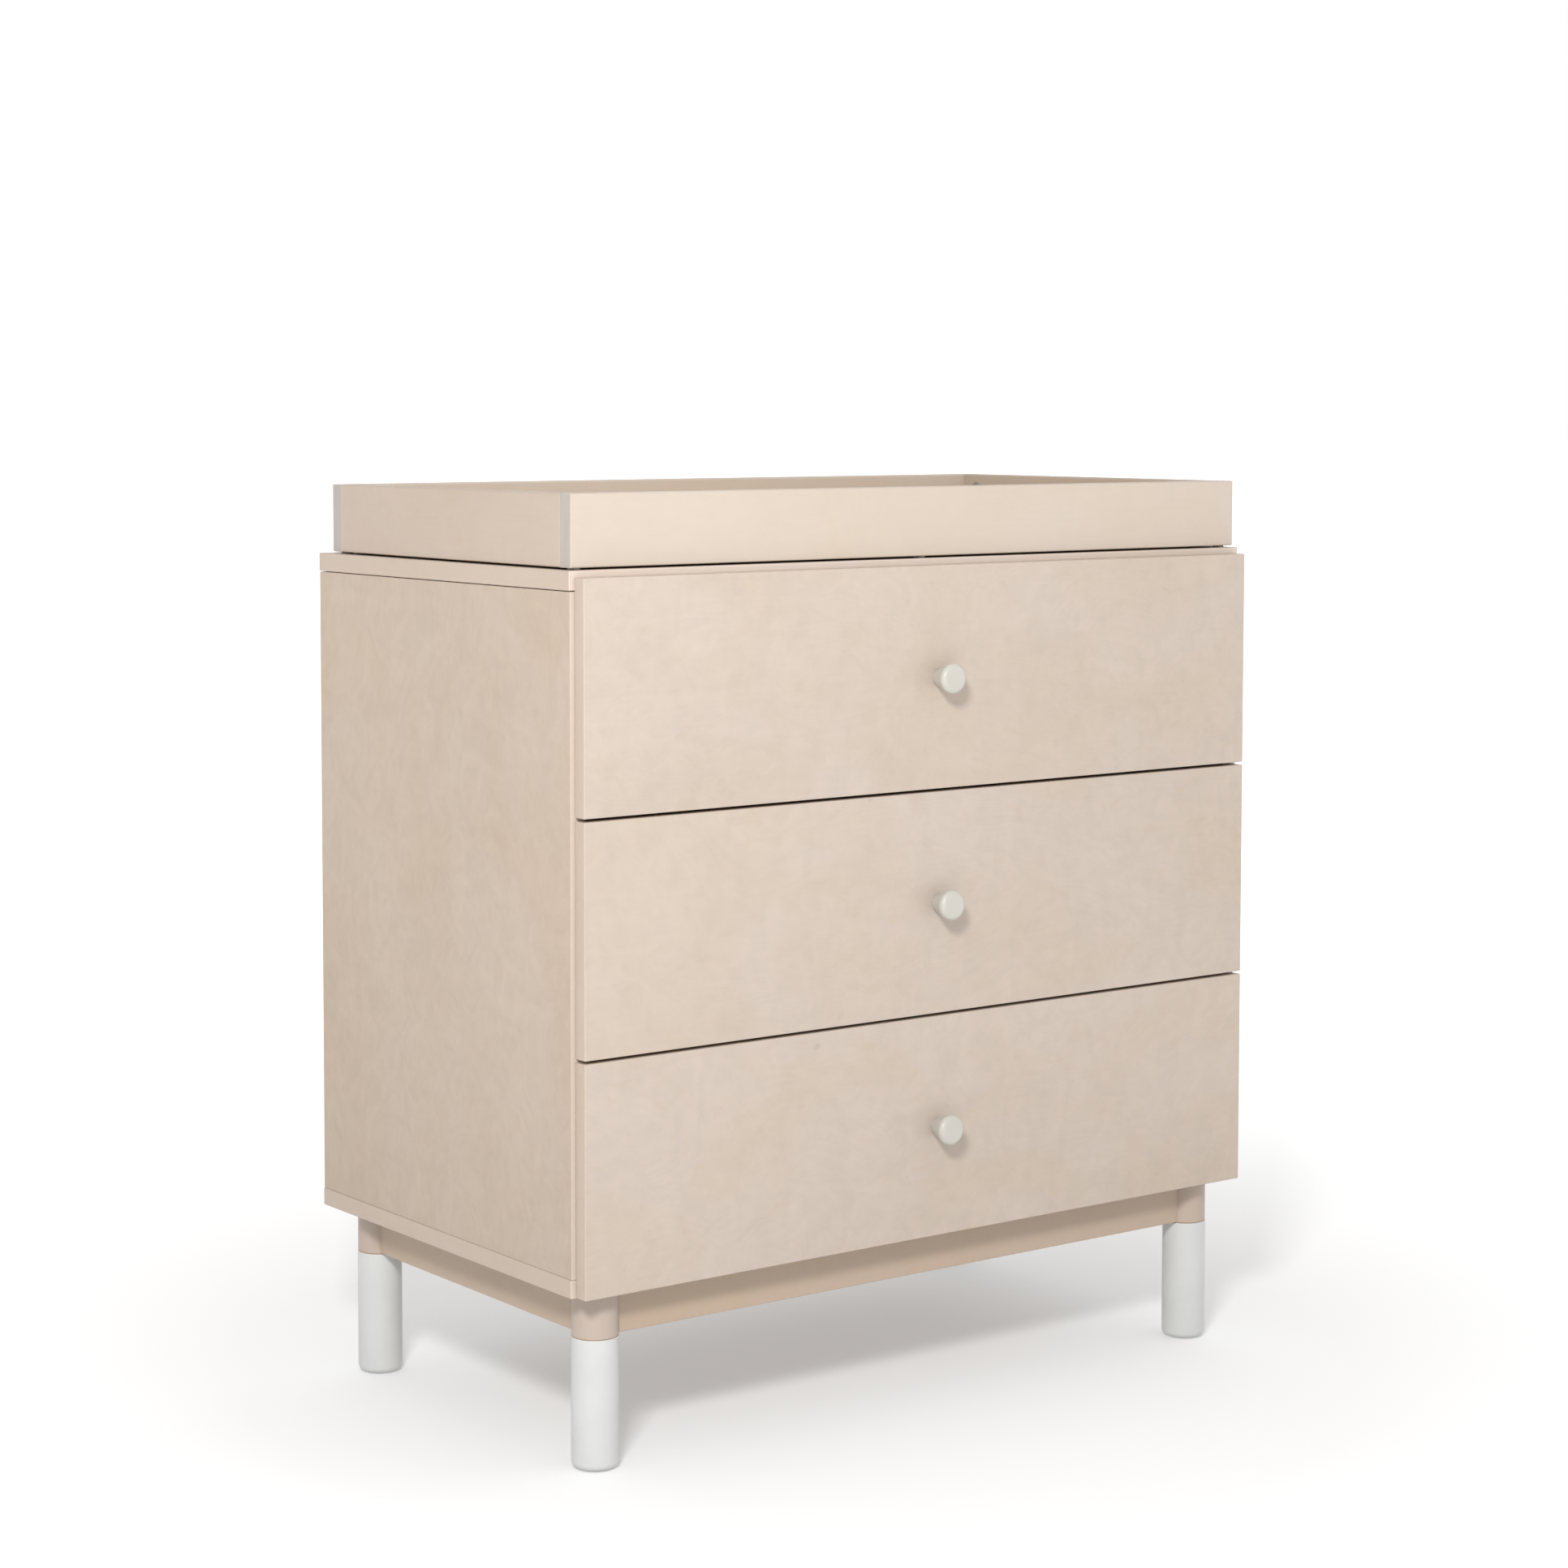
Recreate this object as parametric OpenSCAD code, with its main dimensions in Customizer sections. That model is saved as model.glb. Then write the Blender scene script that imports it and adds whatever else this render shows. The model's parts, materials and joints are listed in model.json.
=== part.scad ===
// Changing table: a three-drawer dresser on round legs with a lift-off changing tray.
// Units are millimetres. X runs to the right, Y to the back and Z up.
// The origin is on the floor, at the centre of the footprint over knobs and back panel.

/* [Cabinet] */
// Width over the top and bottom panels
cabinet_w = 873; // [760:1:1100]
// Depth of the carcass without the drawer fronts
cabinet_d = 470; // [460:1:600]
// Height from the underside of the bottom panel to the top
cabinet_h = 691; // [670:1:860]
// Thickness of the top panel
top_t = 19; // [18:0.5:25]
// Thickness of the side, bottom and rail boards
panel_t = 18; // [16:0.5:22]
// How far the side panels stand in from the ends of the top panel
side_reveal = 1; // [0.5:0.5:3]
// Thickness of the back panel
back_t = 5; // [4:0.5:8]
// Height of the rail across the back, under the top
rail_h = 80; // [60:1:110]
// Radius on the edges of the veneered panels
panel_r = 1.2; // [0.5:0.1:3]

/* [Base] */
// Diameter of the painted feet
foot_d = 46.5; // [40:0.5:60]
// Height of the painted feet
foot_h = 128; // [90:1:180]
// Diameter of the wooden leg posts
post_d = 45.5; // [38:0.5:58]
// Height of the wooden leg posts
post_h = 47; // [40:1:60]
// Distance of the leg centres from the sides of the cabinet
leg_inset_x = 45.5; // [40:0.5:70]
// Distance of the leg centres from the front and the back of the carcass, before base_shift
leg_inset_y = 32.5; // [32:0.5:60]
// How much nearer the front the base sits than the middle of the carcass
base_shift = 6; // [0:1:8]
// Thickness of the aprons
apron_t = 20; // [16:1:24]
// Height of the aprons
apron_h = 46; // [36:1:60]
// Height of the glide under each foot
glide_h = 1.5; // [1:0.5:4]

/* [Drawers] */
// Thickness of the drawer fronts
front_t = 16; // [15:0.5:20]
// Gap between a drawer front and the carcass
front_gap = 0.5; // [0.5:0.5:4]
// Gap between one drawer front and the next
front_step = 3; // [2:0.5:6]
// Margin of the carcass that shows beside the fronts
front_margin = 5.5; // [4:0.5:10]
// Radius on the edges of the drawer fronts
front_r = 2; // [0.5:0.1:4]
// Height of the drawer box boards
box_h = 150; // [120:1:155]
// Length of the drawer box
box_len = 404.5; // [350:0.5:410]
// Thickness of the drawer box boards
box_t = 12; // [12:0.5:15]
// Diameter of the knob's head
knob_d = 31; // [26:0.5:40]
// How far the knob stands out
knob_len = 27; // [20:0.5:32]

/* [Changing tray] */
// Width of the tray
tray_w = 864; // [740:1:876]
// Depth of the tray
tray_d = 444; // [420:1:450]
// Height of the tray boards
tray_h = 70; // [60:1:110]
// Thickness of the tray boards
tray_t = 18; // [16:0.5:20]
// Distance from the front of the carcass to the front of the tray
tray_setback = 4; // [0:0.5:10]
// Height of the pads under the tray
pad_h = 2; // [1:0.5:4]
// Radius on the lower rear edge of the tray
tray_low_r = 6; // [2:0.5:8]

/* [Hidden] */
$fn = 48;

// Colours
veneer = "#DCCDBB";
edge_veneer = "#D3CABF";
paint = "#DEDEDB";
plywood = "#D9C6A6";
steel = "#B9BDC1";
dark_zinc = "#8E8C86";
felt = "#CFCBC2";

// Places along Y, from the knobs at the front to the back panel
overall_d = cabinet_d + front_gap + front_t + knob_len;
y_back = overall_d / 2;
y_front = y_back - cabinet_d;
y_mid = (y_front + y_back) / 2;
y_base = y_mid - base_shift;
y_door = y_front - front_gap;

// Heights above the floor
z_post = glide_h + foot_h;
z_base = z_post + post_h;
z_floor = z_base + panel_t;
z_top = z_base + cabinet_h;
z_ceil = z_top - top_t;
z_tray = z_top + pad_h;

// Carcass
inner_x = cabinet_w / 2 - side_reveal - panel_t;
rabbet = panel_t / 2;
leg_x = cabinet_w / 2 - leg_inset_x;
leg_y = cabinet_d / 2 - leg_inset_y;
apron_shift = 1;
stud_d = 8;
stud_grip = 30;
glide_d = 26;
foot_edge_r = 6;
foot_rim_r = 0.6;
spigot_d = 6;
spigot_h = 10;

// Anti-tip screw holes in the rear rail
tip_hole_d = 4;
tip_hole_gap = 32;
tip_hole_depth = 14;

// Cam fittings
cam_d = 15;
cam_depth = 12.5;
cam_play = 0.2;
cam_offset = 21;
bolt_bore_d = 8;
bolt_head_d = 7;
bolt_neck_d = 5;
bolt_thread_d = 6;
bolt_grip = 10;
cam_slot_l = 9;
cam_slot_w = 1.6;
cabinet_cam_y = cabinet_d / 2 - 60;

// Back panel screws
screw_d = 3.5;
screw_head_d = 7;
screw_l = 16;

// Drawer fronts
front_low = 0.5;
front_high = 6.5;
front_w = cabinet_w - 2 * front_margin;
front_h = (cabinet_h - front_low - front_high - 2 * front_step) / 3;
LOWER = 0;
MIDDLE = 1;
UPPER = 2;
function front_z(level) = z_base + front_low + level * (front_h + front_step);

// Drawer boxes, on ball-bearing slides of three nested members
slide_space = 12.7;
slide_h = 45;
slide_inset = 3;
slide_len = box_len - slide_inset - front_gap;
slide_lift = 60;
sheet_t = 1.2;
box_x = inner_x - slide_space;
box_lift = 32;
bottom_t = 5;
bottom_lift = 10;
groove = 6;
groove_play = 0.5;

// Knobs
knob_base_d = 16;
knob_head_h = 9;
knob_edge_r = 3.5;
knob_back_r = 2;
knob_screw_d = 4;
knob_screw_head_d = 8.5;
knob_screw_head_h = 2.5;
knob_screw_grip = 14;

// Tray
tray_edge_r = 1.5;
tray_in_r = 0.5;
tray_y = y_front + tray_setback;
tray_mid = tray_y + tray_d / 2;
tray_base_t = 6;
tray_tongue_t = 3;
tray_base_lift = 8;
tray_groove = 8;
tray_cam_drop = 16.4;
tray_pad_d = 12;
tray_pad_inset = 11;

// Brackets between the aprons and the bottom panel
bracket_l = 40;
bracket_leaf = 28;
bracket_t = 2;
bracket_hole_d = 4.5;
bracket_x = 230;

// ---- Shapes that repeat ----

// Everything outside an arc of radius r at the origin's corner
module corner_waste(r) {
    if (r > 0) difference() {
        translate([-1, -1]) square(r + 1);
        translate([r, r]) circle(r);
    }
}

// Rectangle with radii given in the order low left, low right, high right, high left
module rounded_rect(size, radii) {
    w = size[0];
    h = size[1];
    difference() {
        square(size);
        corner_waste(radii[0]);
        translate([w, 0]) mirror([1, 0]) corner_waste(radii[1]);
        translate([w, h]) rotate(180) corner_waste(radii[2]);
        translate([0, h]) mirror([0, 1]) corner_waste(radii[3]);
    }
}

// Board with every edge rounded, from its low corner; profile_radii shape its end view in YZ
module board(size, r, profile_radii = undef) {
    radii = is_undef(profile_radii) ? [r, r, r, r] : profile_radii;
    intersection() {
        linear_extrude(size[2]) rounded_rect([size[0], size[1]], [r, r, r, r]);
        translate([0, size[1], 0]) rotate([90, 0, 0]) linear_extrude(size[1])
            rounded_rect([size[0], size[2]], [r, r, r, r]);
        rotate([90, 0, 90]) linear_extrude(size[0]) rounded_rect([size[1], size[2]], radii);
    }
}

// A child and its mirror image to the left
module both_sides() {
    for (flip = [0, 1]) mirror([flip, 0, 0]) children();
}

// A child mirrored into one corner around a centre line; it is drawn for the rear right one
module corner(y_centre, to_left, to_front) {
    translate([0, y_centre, 0]) mirror([to_left, 0, 0]) mirror([0, to_front, 0]) children();
}

// A child at all four corners around a centre line
module four_corners(y_centre) {
    for (to_left = [0, 1], to_front = [0, 1]) corner(y_centre, to_left, to_front) children();
}

// Cam lock, face at Z = 0 and bolt entering along +X
module cam_lock() {
    difference() {
        translate([0, 0, -cam_depth + cam_play]) cylinder(h = cam_depth - 2 * cam_play, d = cam_d - cam_play);
        translate([-2, 0, -panel_t / 2]) rotate([0, 90, 0]) cylinder(h = cam_d, d = bolt_bore_d);
        for (turn = [0, 90]) rotate(turn)
            translate([-cam_slot_l / 2, -cam_slot_w / 2, -2.5]) cube([cam_slot_l, cam_slot_w, 4]);
    }
}

// Bolt that the cam pulls on, threaded into the next board
module cam_bolt() {
    translate([0, 0, -panel_t / 2]) rotate([0, 90, 0]) {
        translate([0, 0, 1]) cylinder(h = 3, d = bolt_head_d);
        translate([0, 0, 4]) cylinder(h = cam_offset - 4, d = bolt_neck_d);
        translate([0, 0, cam_offset]) cylinder(h = bolt_grip, d = bolt_thread_d);
    }
}

// Bores for one cam lock and its bolt, in both boards
module cam_bores() {
    translate([0, 0, -cam_depth]) cylinder(h = cam_depth + 1, d = cam_d);
    translate([0, 0, -panel_t / 2]) rotate([0, 90, 0]) {
        cylinder(h = cam_offset, d = bolt_bore_d);
        cylinder(h = cam_offset + bolt_grip, d = bolt_thread_d);
    }
}

// ---- Carcass ----

// Cam fittings that hold the side panels to the top and bottom panels
module cabinet_cam_places() {
    for (flip_z = [0, 1])
        translate([0, 0, (z_floor + z_ceil) / 2]) mirror([0, 0, flip_z])
            four_corners(y_mid)
                translate([inner_x, cabinet_cam_y, (z_ceil - z_floor) / 2 - cam_offset])
                    rotate([0, -90, 0]) children();
}

// Screws round the edge of the back panel, driven from behind
module back_screw_places() {
    for (z = [z_floor + 60 : 150 : z_ceil - rail_h - 40]) both_sides()
        translate([inner_x + rabbet / 2, y_back, z]) rotate([90, 0, 0]) children();
    for (x = [-280, 0, 280], z = [z_floor - rabbet / 2, z_ceil - rail_h + rabbet / 2])
        translate([x, y_back, z]) rotate([90, 0, 0]) children();
}

module back_screw() {
    cylinder(h = 2, d1 = screw_head_d, d2 = screw_d);
    translate([0, 0, 2]) cylinder(h = screw_l - 2, d = screw_d);
}

// Screws from the base into the underside of the bottom panel
module bracket_places() {
    for (x = [-bracket_x, bracket_x], flip_y = [0, 1])
        translate([x, y_base, 0]) mirror([0, flip_y, 0])
            translate([0, leg_y + apron_shift - apron_t / 2, z_base]) children();
    both_sides() translate([leg_x + apron_shift - apron_t / 2, y_base, z_base])
        rotate(-90) children();
}

module top_panel() {
    color(veneer) difference() {
        translate([-cabinet_w / 2, y_front, z_ceil]) board([cabinet_w, cabinet_d, top_t], panel_r);
        cabinet_cam_places() cam_bores();
    }
}

module bottom_panel() {
    color(veneer) difference() {
        translate([-cabinet_w / 2, y_front, z_base]) board([cabinet_w, cabinet_d, panel_t], panel_r);
        translate([-inner_x - rabbet, y_back - back_t, z_floor - rabbet])
            cube([2 * (inner_x + rabbet), back_t + 1, rabbet + 1]);
        cabinet_cam_places() cam_bores();
        back_screw_places() back_screw();
    }
}

// Right side panel; the left one is its mirror image
module side_panel() {
    color(veneer) difference() {
        translate([inner_x, y_front, z_floor]) cube([panel_t, cabinet_d, z_ceil - z_floor]);
        translate([inner_x - 1, y_back - back_t, z_floor - 1])
            cube([rabbet + 1, back_t + 1, z_ceil - rail_h + rabbet - z_floor + 1]);
        cabinet_cam_places() cam_bores();
        back_screw_places() back_screw();
    }
}

module back_panel() {
    color(plywood) difference() {
        translate([-inner_x - rabbet, y_back - back_t, z_floor - rabbet])
            cube([2 * (inner_x + rabbet), back_t, z_ceil - rail_h - z_floor + 2 * rabbet]);
        back_screw_places() back_screw();
    }
}

module rear_rail() {
    color(veneer) difference() {
        translate([-inner_x, y_back - panel_t, z_ceil - rail_h]) cube([2 * inner_x, panel_t, rail_h]);
        translate([-inner_x - 1, y_back - back_t, z_ceil - rail_h - 1])
            cube([2 * inner_x + 2, back_t + 1, rabbet + 1]);
        back_screw_places() back_screw();
        for (side = [-1, 1])
            translate([side * tip_hole_gap / 2, y_back + 1, z_ceil - rail_h / 2 + 5])
                rotate([90, 0, 0]) cylinder(h = tip_hole_depth + 1, d = tip_hole_d);
    }
}

// ---- Base ----

module leg_places() {
    four_corners(y_base) translate([leg_x, leg_y, 0]) children();
}

// Apron across the front; the rear one is its mirror image
module cross_apron() {
    color(veneer) difference() {
        translate([-leg_x, y_base - leg_y - apron_shift - apron_t / 2, z_base - apron_h])
            cube([2 * leg_x, apron_t, apron_h]);
        leg_places() translate([0, 0, z_post - 1]) cylinder(h = post_h + 2, d = post_d);
    }
}

// Apron along the right side; the left one is its mirror image
module side_apron() {
    color(veneer) difference() {
        translate([leg_x + apron_shift - apron_t / 2, y_base - leg_y, z_base - apron_h])
            cube([apron_t, 2 * leg_y, apron_h]);
        leg_places() translate([0, 0, z_post - 1]) cylinder(h = post_h + 2, d = post_d);
    }
}

// Wooden leg post at the rear right corner
module leg_post() {
    color(veneer) translate([leg_x, leg_y, z_post]) difference() {
        cylinder(h = post_h, d = post_d);
        translate([0, 0, -1]) cylinder(h = stud_grip + 1, d = stud_d);
    }
}

// Painted foot at the rear right corner
module foot() {
    color(paint) translate([leg_x, leg_y, glide_h]) difference() {
        rotate_extrude() rounded_rect([foot_d / 2, foot_h], [0, foot_edge_r, foot_rim_r, 0]);
        translate([0, 0, foot_h - stud_grip]) cylinder(h = stud_grip + 1, d = stud_d);
        translate([0, 0, -1]) cylinder(h = spigot_h + 1, d = spigot_d);
    }
}

// Hanger bolts that join the feet to the leg posts
module foot_studs() {
    color(steel) leg_places() translate([0, 0, z_post - stud_grip]) cylinder(h = 2 * stud_grip, d = stud_d);
}

module foot_glides() {
    color(felt) leg_places() {
        cylinder(h = glide_h, d = glide_d);
        translate([0, 0, glide_h]) cylinder(h = spigot_h, d = spigot_d);
    }
}

// Two screw bores for each leaf of a bracket, in the bracket's own frame
module bracket_screws() {
    for (x = [-bracket_l / 4, bracket_l / 4]) {
        translate([x, -bracket_leaf / 2 - bracket_t, -bracket_t - 1])
            cylinder(h = bracket_t + 2, d = bracket_hole_d);
        translate([x, -bracket_t - 1, -bracket_leaf / 2 - bracket_t]) rotate([-90, 0, 0])
            cylinder(h = bracket_t + 2, d = bracket_hole_d);
    }
}

module apron_brackets() {
    color(steel) bracket_places() difference() {
        translate([-bracket_l / 2, -bracket_leaf, -bracket_leaf])
            cube([bracket_l, bracket_leaf, bracket_leaf]);
        translate([-bracket_l / 2 - 1, -bracket_leaf - 1, -bracket_leaf - 1])
            cube([bracket_l + 2, bracket_leaf - bracket_t + 1, bracket_leaf - bracket_t + 1]);
        bracket_screws();
    }
}

// ---- Fittings ----

module cabinet_cam_locks() {
    color(dark_zinc) cabinet_cam_places() cam_lock();
}

module cabinet_cam_bolts() {
    color(steel) cabinet_cam_places() cam_bolt();
}

module back_panel_screws() {
    color(steel) back_screw_places() back_screw();
}

// ---- Slides: depth is measured from the side panel towards the drawer ----

// Channel section with its web at depth_web and its flanges reaching to depth_tip
module channel(depth_web, depth_tip, half_h) {
    near = min(depth_web, depth_tip);
    web_near = depth_web < depth_tip ? depth_web : depth_web - sheet_t;
    translate([near, half_h - sheet_t]) square([abs(depth_tip - depth_web), sheet_t]);
    translate([near, -half_h]) square([abs(depth_tip - depth_web), sheet_t]);
    translate([web_near, -half_h]) square([sheet_t, 2 * half_h]);
}

// The two members of one kind, left and right, at one drawer level
module slide_members(level, depth_web, depth_tip, half_h) {
    z = front_z(level) + box_lift + slide_lift;
    color(steel) both_sides()
        translate([inner_x, y_front + slide_inset + slide_len, z]) mirror([1, 0, 0])
            rotate([90, 0, 0]) linear_extrude(slide_len) channel(depth_web, depth_tip, half_h);
}

module cabinet_slide_members() {
    for (level = [LOWER, MIDDLE, UPPER]) slide_members(level, 0, 11, slide_h / 2);
}

module runners(level) {
    slide_members(level, 2.2, 11.2, 17);
}

module drawer_slide_members(level) {
    slide_members(level, slide_space, 4.6, 13);
}

// ---- Drawers ----

module drawer_front(level) {
    color(veneer) difference() {
        translate([-front_w / 2, y_door - front_t, front_z(level)])
            board([front_w, front_t, front_h], front_r);
        drawer_groove(level);
        translate([0, y_door + 1, front_z(level) + front_h / 2]) rotate([90, 0, 0])
            cylinder(h = front_t + 2, d = knob_screw_d);
    }
}

// Space that the drawer bottom's grooves take, on all sides of the box
module drawer_groove(level) {
    translate([-box_x + box_t - groove, y_door - groove, front_z(level) + box_lift + bottom_lift])
        cube([2 * (box_x - box_t + groove), box_len + groove + 1, bottom_t]);
}

// Right side of a drawer box; the left one is its mirror image
module drawer_side(level) {
    color(plywood) difference() {
        translate([box_x - box_t, y_door, front_z(level) + box_lift]) cube([box_t, box_len, box_h]);
        drawer_groove(level);
    }
}

module drawer_back(level) {
    lift = bottom_lift + bottom_t;
    color(plywood) translate([-box_x + box_t, y_door + box_len - box_t, front_z(level) + box_lift + lift])
        cube([2 * (box_x - box_t), box_t, box_h - lift]);
}

module drawer_bottom(level) {
    half_w = box_x - box_t + groove - groove_play;
    color(plywood)
        translate([-half_w, y_door - groove + groove_play, front_z(level) + box_lift + bottom_lift])
            cube([2 * half_w, box_len + groove - groove_play, bottom_t]);
}

// Knob in its own frame, from the drawer front outwards along +Z
module knob(level) {
    color(paint) translate([0, y_door - front_t, front_z(level) + front_h / 2]) rotate([90, 0, 0])
        difference() {
            union() {
                cylinder(h = knob_len - knob_head_h, d1 = knob_base_d, d2 = knob_d - 2 * knob_back_r);
                translate([0, 0, knob_len - knob_head_h]) rotate_extrude()
                    rounded_rect([knob_d / 2, knob_head_h], [0, knob_back_r, knob_edge_r, 0]);
            }
            translate([0, 0, -1]) cylinder(h = knob_screw_grip + 1, d = knob_screw_d);
        }
}

module knob_screw(level) {
    color(steel) translate([0, y_door, front_z(level) + front_h / 2]) rotate([90, 0, 0]) {
        translate([0, 0, -knob_screw_head_h]) cylinder(h = knob_screw_head_h, d = knob_screw_head_d);
        cylinder(h = front_t + knob_screw_grip - 0.5, d = knob_screw_d);
    }
}

// ---- Changing tray ----

module tray_cam_places() {
    four_corners(tray_mid)
        translate([tray_w / 2 - tray_t, tray_d / 2 - tray_t - cam_offset, z_tray + tray_h - tray_cam_drop])
            rotate([-90, 0, 90]) children();
}

// Flat block that stands in from the outside of the tray by a margin
module tray_layer(margin, thickness) {
    translate([-tray_w / 2 + margin, tray_y + margin, z_tray + tray_base_lift])
        cube([tray_w - 2 * margin, tray_d - 2 * margin, thickness]);
}

// Space that the tongue of the tray's base panel takes, with its grooves
module tray_groove_space() {
    tray_layer(tray_t - tray_groove, tray_tongue_t);
}

// Front board across the whole width; the back one is its mirror image with a rounder lower edge
module tray_long_board(low_r) {
    color(veneer) difference() {
        translate([-tray_w / 2, tray_y, z_tray])
            board([tray_w, tray_t, tray_h], tray_edge_r, [low_r, tray_in_r, tray_edge_r, tray_edge_r]);
        tray_groove_space();
        tray_cam_places() cam_bores();
    }
}

// Right board between the long ones; the left one is its mirror image
module tray_short_board() {
    color(veneer) difference() {
        translate([tray_w / 2 - tray_t, tray_y + tray_d - tray_t, z_tray]) rotate([90, 0, 0])
            linear_extrude(tray_d - 2 * tray_t)
                rounded_rect([tray_t, tray_h], [tray_in_r, tray_edge_r, tray_edge_r, tray_edge_r]);
        tray_groove_space();
        tray_cam_places() cam_bores();
    }
}

// Base panel with a tongue all round, below a field that fills the inside of the tray
module tray_base_panel() {
    color(plywood) {
        tray_layer(tray_t - tray_groove + groove_play, tray_tongue_t);
        tray_layer(tray_t + groove_play, tray_base_t);
    }
}

module tray_pads() {
    color(felt) for (x = [-1, 0, 1], y = [-1, 1])
        translate([x * (tray_w / 2 - tray_pad_inset), tray_mid + y * (tray_d / 2 - tray_pad_inset), z_top])
            cylinder(h = pad_h, d = tray_pad_d);
}

module tray_cam_locks() {
    color(dark_zinc) tray_cam_places() cam_lock();
}

module tray_cam_bolts() {
    color(steel) tray_cam_places() cam_bolt();
}

// A child mirrored front to back about a centre line
module turned_back(y_centre) {
    translate([0, y_centre, 0]) mirror([0, 1, 0]) translate([0, -y_centre, 0]) children();
}

// A child mirrored to the left
module to_left() {
    mirror([1, 0, 0]) children();
}

top_panel();
bottom_panel();
to_left() side_panel();  // left_side_panel
side_panel();  // right_side_panel
back_panel();
rear_rail();
cross_apron();  // front_apron
turned_back(y_base) cross_apron();  // rear_apron
to_left() side_apron();  // left_apron
side_apron();  // right_apron
corner(y_base, 1, 1) leg_post();  // front_left_leg_post
corner(y_base, 0, 1) leg_post();  // front_right_leg_post
corner(y_base, 1, 0) leg_post();  // rear_left_leg_post
corner(y_base, 0, 0) leg_post();  // rear_right_leg_post
corner(y_base, 1, 1) foot();  // front_left_foot
corner(y_base, 0, 1) foot();  // front_right_foot
corner(y_base, 1, 0) foot();  // rear_left_foot
corner(y_base, 0, 0) foot();  // rear_right_foot
foot_studs();
foot_glides();
apron_brackets();
cabinet_cam_locks();
cabinet_cam_bolts();
back_panel_screws();
cabinet_slide_members();
tray_long_board(tray_edge_r);  // tray_front_board
turned_back(tray_mid) tray_long_board(tray_low_r);  // tray_back_board
to_left() tray_short_board();  // tray_left_board
tray_short_board();  // tray_right_board
tray_base_panel();
tray_pads();
tray_cam_locks();
tray_cam_bolts();
drawer_front(UPPER);  // upper_drawer_front
to_left() drawer_side(UPPER);  // upper_drawer_left_side
drawer_side(UPPER);  // upper_drawer_right_side
drawer_back(UPPER);  // upper_drawer_back
drawer_bottom(UPPER);  // upper_drawer_bottom
knob(UPPER);  // upper_knob
knob_screw(UPPER);  // upper_knob_screw
drawer_slide_members(UPPER);  // upper_slide_members
runners(UPPER);  // upper_runners
drawer_front(MIDDLE);  // middle_drawer_front
to_left() drawer_side(MIDDLE);  // middle_drawer_left_side
drawer_side(MIDDLE);  // middle_drawer_right_side
drawer_back(MIDDLE);  // middle_drawer_back
drawer_bottom(MIDDLE);  // middle_drawer_bottom
knob(MIDDLE);  // middle_knob
knob_screw(MIDDLE);  // middle_knob_screw
drawer_slide_members(MIDDLE);  // middle_slide_members
runners(MIDDLE);  // middle_runners
drawer_front(LOWER);  // lower_drawer_front
to_left() drawer_side(LOWER);  // lower_drawer_left_side
drawer_side(LOWER);  // lower_drawer_right_side
drawer_back(LOWER);  // lower_drawer_back
drawer_bottom(LOWER);  // lower_drawer_bottom
knob(LOWER);  // lower_knob
knob_screw(LOWER);  // lower_knob_screw
drawer_slide_members(LOWER);  // lower_slide_members
runners(LOWER);  // lower_runners
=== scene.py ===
"""Looks of the changing table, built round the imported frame. Lengths are in metres."""
import json
import math

import bmesh
import bpy
from mathutils import Matrix, Vector


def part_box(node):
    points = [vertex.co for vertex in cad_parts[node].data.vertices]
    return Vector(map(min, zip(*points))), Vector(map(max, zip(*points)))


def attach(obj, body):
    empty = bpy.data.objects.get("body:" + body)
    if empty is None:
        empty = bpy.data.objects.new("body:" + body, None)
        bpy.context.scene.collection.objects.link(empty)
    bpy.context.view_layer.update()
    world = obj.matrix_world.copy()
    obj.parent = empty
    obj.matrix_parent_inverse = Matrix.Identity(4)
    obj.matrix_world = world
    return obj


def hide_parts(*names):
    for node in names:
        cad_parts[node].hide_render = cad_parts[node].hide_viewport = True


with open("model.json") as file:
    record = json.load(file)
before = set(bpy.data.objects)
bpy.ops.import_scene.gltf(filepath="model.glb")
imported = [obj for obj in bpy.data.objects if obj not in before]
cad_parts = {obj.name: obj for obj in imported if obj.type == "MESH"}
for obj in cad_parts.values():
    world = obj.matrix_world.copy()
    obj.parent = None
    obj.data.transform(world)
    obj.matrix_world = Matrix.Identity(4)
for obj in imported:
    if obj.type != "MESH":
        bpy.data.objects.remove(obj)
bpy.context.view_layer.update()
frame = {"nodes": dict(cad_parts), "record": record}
nodes = frame["nodes"]
scene = bpy.context.scene

MM = 0.001
X, Y, Z = 0, 1, 2
LEVELS = ("upper", "middle", "lower")
CORNERS = ("front_left", "front_right", "rear_left", "rear_right")

# ---- Camera ----

CAMERA_PLACE = (-2.178, -2.819, 1.025)
CAMERA_YAW = 36.09
CAMERA_TILT = -3.84
CAMERA_LENS = 77.14
CAMERA_SHIFT = (0.05, -0.1)


def add_camera():
    camera = bpy.data.objects.new("camera", bpy.data.cameras.new("camera"))
    scene.collection.objects.link(camera)
    camera.location = CAMERA_PLACE
    camera.rotation_euler = (math.radians(90 + CAMERA_TILT), 0, math.radians(-CAMERA_YAW))
    camera.data.lens = CAMERA_LENS
    camera.data.shift_x, camera.data.shift_y = CAMERA_SHIFT
    scene.camera = camera


# ---- Materials ----


def colour(red, green, blue):
    """Linear colour from screen values of 0 to 255."""
    def linear(value):
        value /= 255
        return value / 12.92 if value <= 0.04045 else ((value + 0.055) / 1.055) ** 2.4
    return (linear(red), linear(green), linear(blue), 1)


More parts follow.
